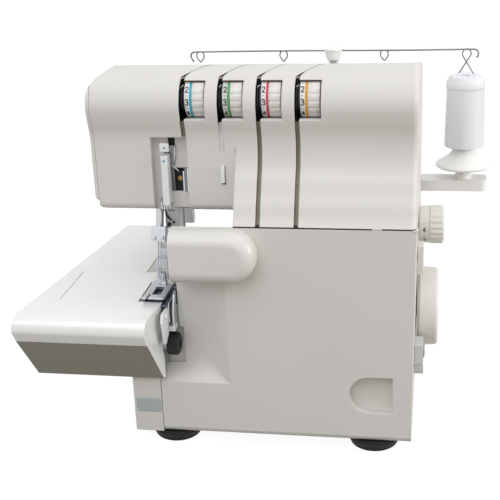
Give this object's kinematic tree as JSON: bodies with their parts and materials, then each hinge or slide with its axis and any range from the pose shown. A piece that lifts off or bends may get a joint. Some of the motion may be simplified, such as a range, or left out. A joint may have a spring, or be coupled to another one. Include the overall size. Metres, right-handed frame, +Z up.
{
  "type": "overlock sewing machine",
  "caption": "Free-arm overlock machine with hinged looper cover, sliding cloth plate, thumb-wheel tension dials, handwheel and rear thread stand with a telescopic guide.",
  "frame": {"origin": "centre of the footprint box, at the bottom of the rubber feet", "axes": "+X to the user's right along the machine, +Y from the front to the back, +Z up"},
  "size_m": [0.368, 0.271, 0.2996],
  "materials": {
    "casing": "warm off-white satin moulded ABS",
    "guard": "off-white moulded ABS, a little glossier",
    "base": "grey-white moulded tray",
    "rubber": "black moulded rubber",
    "steel": "ground and plated steel",
    "dark_steel": "hardened tool steel",
    "alloy": "die-cast aluminium",
    "bronze": "sintered bronze",
    "black": "black moulded knob",
    "pulley": "dark glass-filled nylon",
    "belt": "toothed rubber belt",
    "motor": "dark painted steel can",
    "grey": "grey moulded plastic",
    "dial": "cream moulded plastic",
    "label": "bare grey-blue plate",
    "thread": "white polyester thread wound on a cone"
  },
  "bodies": {
    "machine": {"base_plate": "base", "rubber_feet": "rubber", "case_screws": "steel", "machine_frame": "alloy", "bed_cover": "casing", "front_cover": "casing", "rear_cover": "casing", "arm_end_cover": "casing", "side_cover": "casing", "free_arm_cover": "casing", "needle_plate": "steel", "take_up_cover": "grey", "thread_guides": "steel", "presser_spring": "steel", "lower_knife": "dark_steel", "knife_bracket": "guard", "main_bearings": "bronze", "drive_belt": "belt", "motor": "motor", "tension_bracket": "dark_steel", "tension_sets": "steel", "switch_housing": "grey", "spool_stand": "casing", "spool_holders": "guard", "pole_tube": "steel", "label_plate": "label"},
    "cover_slider": {"cover_hinge_pin": "steel"},
    "looper_door": {"looper_cover": "casing", "looper_guard": "guard"},
    "handle": {"carry_handle": "casing"},
    "table": {"cloth_plate": "guard"},
    "main_drive": {"main_shaft": "steel", "handwheel": "dial", "drive_pulley": "pulley"},
    "motor_rotor": {"motor_pulley": "dark_steel"},
    "dial_1": {"tension_dial_1": "dial"},
    "dial_2": {"tension_dial_2": "dial"},
    "dial_3": {"tension_dial_3": "dial"},
    "dial_4": {"tension_dial_4": "dial"},
    "needle_unit": {"needle_bar": "steel", "needle_clamp": "dark_steel", "needles": "steel"},
    "presser_unit": {"presser_bar": "steel", "presser_ankle": "steel"},
    "presser_sole": {"presser_foot": "steel"},
    "lifter": {"presser_lifter": "dial"},
    "upper_looper_arm": {"upper_looper": "steel"},
    "lower_looper_arm": {"lower_looper": "steel"},
    "main_feed": {"feed_dog_main": "dark_steel"},
    "differential_feed": {"feed_dog_differential": "dark_steel"},
    "knife_swing": {"knife_arm": "dark_steel", "upper_knife": "dark_steel"},
    "width_knob": {"cutting_width_knob": "black"},
    "length_dial": {"stitch_length_dial": "dial"},
    "feed_lever": {"differential_lever": "dial"},
    "switch_rocker": {"power_switch": "grey"},
    "pole_upper": {"pole_rod": "steel", "guide_holder": "guard", "guide_wire": "steel"},
    "spool": {"thread_spool": "thread"}
  },
  "joints": [
    {"name": "cover_shift", "type": "slide", "parent": "machine", "child": "cover_slider", "axis": [1, 0, 0], "range_m": [0, 0.008]},
    {"name": "cover_tilt", "type": "hinge", "parent": "cover_slider", "child": "looper_door", "pos_m": [0.02, -0.0925, 0.0164], "axis": [1, 0, 0], "range_deg": [0, 75]},
    {"name": "handle_fold", "type": "hinge", "parent": "machine", "child": "handle", "pos_m": [0.061, 0.0165, 0.2816], "axis": [1, 0, 0], "range_deg": [0, 95]},
    {"name": "table_pull", "type": "slide", "parent": "machine", "child": "table", "axis": [-1, 0, 0], "range_m": [0, 0.09]},
    {"name": "main_turn", "type": "hinge", "parent": "machine", "child": "main_drive", "pos_m": [0.12, -0.0075, 0.0915], "axis": [1, 0, 0], "continuous": true},
    {"name": "motor_turn", "type": "hinge", "parent": "machine", "child": "motor_rotor", "pos_m": [0.1, 0.0405, 0.055], "axis": [1, 0, 0], "continuous": true},
    {"name": "tension_turn_1", "type": "hinge", "parent": "machine", "child": "dial_1", "pos_m": [-0.0416, -0.0595, 0.279], "axis": [1, 0, 0], "range_deg": [-120, 140]},
    {"name": "tension_turn_2", "type": "hinge", "parent": "machine", "child": "dial_2", "pos_m": [-0.0126, -0.0595, 0.279], "axis": [1, 0, 0], "range_deg": [-120, 140]},
    {"name": "tension_turn_3", "type": "hinge", "parent": "machine", "child": "dial_3", "pos_m": [0.0164, -0.0595, 0.279], "axis": [1, 0, 0], "range_deg": [-120, 140]},
    {"name": "tension_turn_4", "type": "hinge", "parent": "machine", "child": "dial_4", "pos_m": [0.0454, -0.0595, 0.279], "axis": [1, 0, 0], "range_deg": [-120, 140]},
    {"name": "needle_stroke", "type": "slide", "parent": "machine", "child": "needle_unit", "axis": [0, -0.309, -0.9511], "range_m": [0, 0.026]},
    {"name": "lifter_swing", "type": "hinge", "parent": "machine", "child": "lifter", "pos_m": [-0.078, 0.0145, 0.208], "axis": [1, 0, 0], "range_deg": [0, 35]},
    {"name": "presser_lift", "type": "slide", "parent": "machine", "child": "presser_unit", "axis": [0, 0, 1], "range_m": [0, 0.006], "deforming": ["presser_spring"]},
    {"name": "sole_tilt", "type": "hinge", "parent": "presser_unit", "child": "presser_sole", "pos_m": [-0.0802, -0.0615, 0.134], "axis": [1, 0, 0], "range_deg": [-8, 0]},
    {"name": "upper_looper_swing", "type": "hinge", "parent": "machine", "child": "upper_looper_arm", "pos_m": [-0.034, -0.0695, 0.066], "axis": [0, 1, 0], "range_deg": [-8, 8]},
    {"name": "lower_looper_swing", "type": "hinge", "parent": "machine", "child": "lower_looper_arm", "pos_m": [-0.048, -0.0755, 0.066], "axis": [0, 1, 0], "range_deg": [-2, 12]},
    {"name": "main_feed_stroke", "type": "slide", "parent": "machine", "child": "main_feed", "axis": [0, 1, 0], "range_m": [-0.0025, 0.0025]},
    {"name": "differential_feed_stroke", "type": "slide", "parent": "machine", "child": "differential_feed", "axis": [0, 1, 0], "range_m": [-0.0025, 0.0025]},
    {"name": "knife_stroke", "type": "hinge", "parent": "machine", "child": "knife_swing", "pos_m": [-0.07, -0.0925, 0.0885], "axis": [1, 0, 0], "range_deg": [-8, 0]},
    {"name": "width_turn", "type": "hinge", "parent": "machine", "child": "width_knob", "pos_m": [-0.07, -0.0925, 0.0885], "axis": [1, 0, 0], "range_deg": [-180, 180]},
    {"name": "length_turn", "type": "hinge", "parent": "machine", "child": "length_dial", "pos_m": [0.13, -0.0075, 0.1633], "axis": [1, 0, 0], "range_deg": [-150, 60]},
    {"name": "differential_slide", "type": "slide", "parent": "machine", "child": "feed_lever", "axis": [0, 0, 1], "range_m": [-0.005, 0.005]},
    {"name": "switch_rock", "type": "hinge", "parent": "machine", "child": "switch_rocker", "pos_m": [0.1234, -0.0505, 0.0704], "axis": [0, 1, 0], "range_deg": [-8, 8]},
    {"name": "pole_extend", "type": "slide", "parent": "machine", "child": "pole_upper", "axis": [0, 0, 1], "range_m": [0, 0.09]},
    {"name": "spool_turn", "type": "hinge", "parent": "machine", "child": "spool", "pos_m": [0.159, 0.1105, 0.2], "axis": [0, 0, 1], "continuous": true}
  ],
  "couplings": [
    {"joint": "motor_turn", "follows": "main_turn", "ratio": 3},
    {"joint": "presser_lift", "follows": "lifter_swing", "m_per_rad": 0.009822}
  ]
}
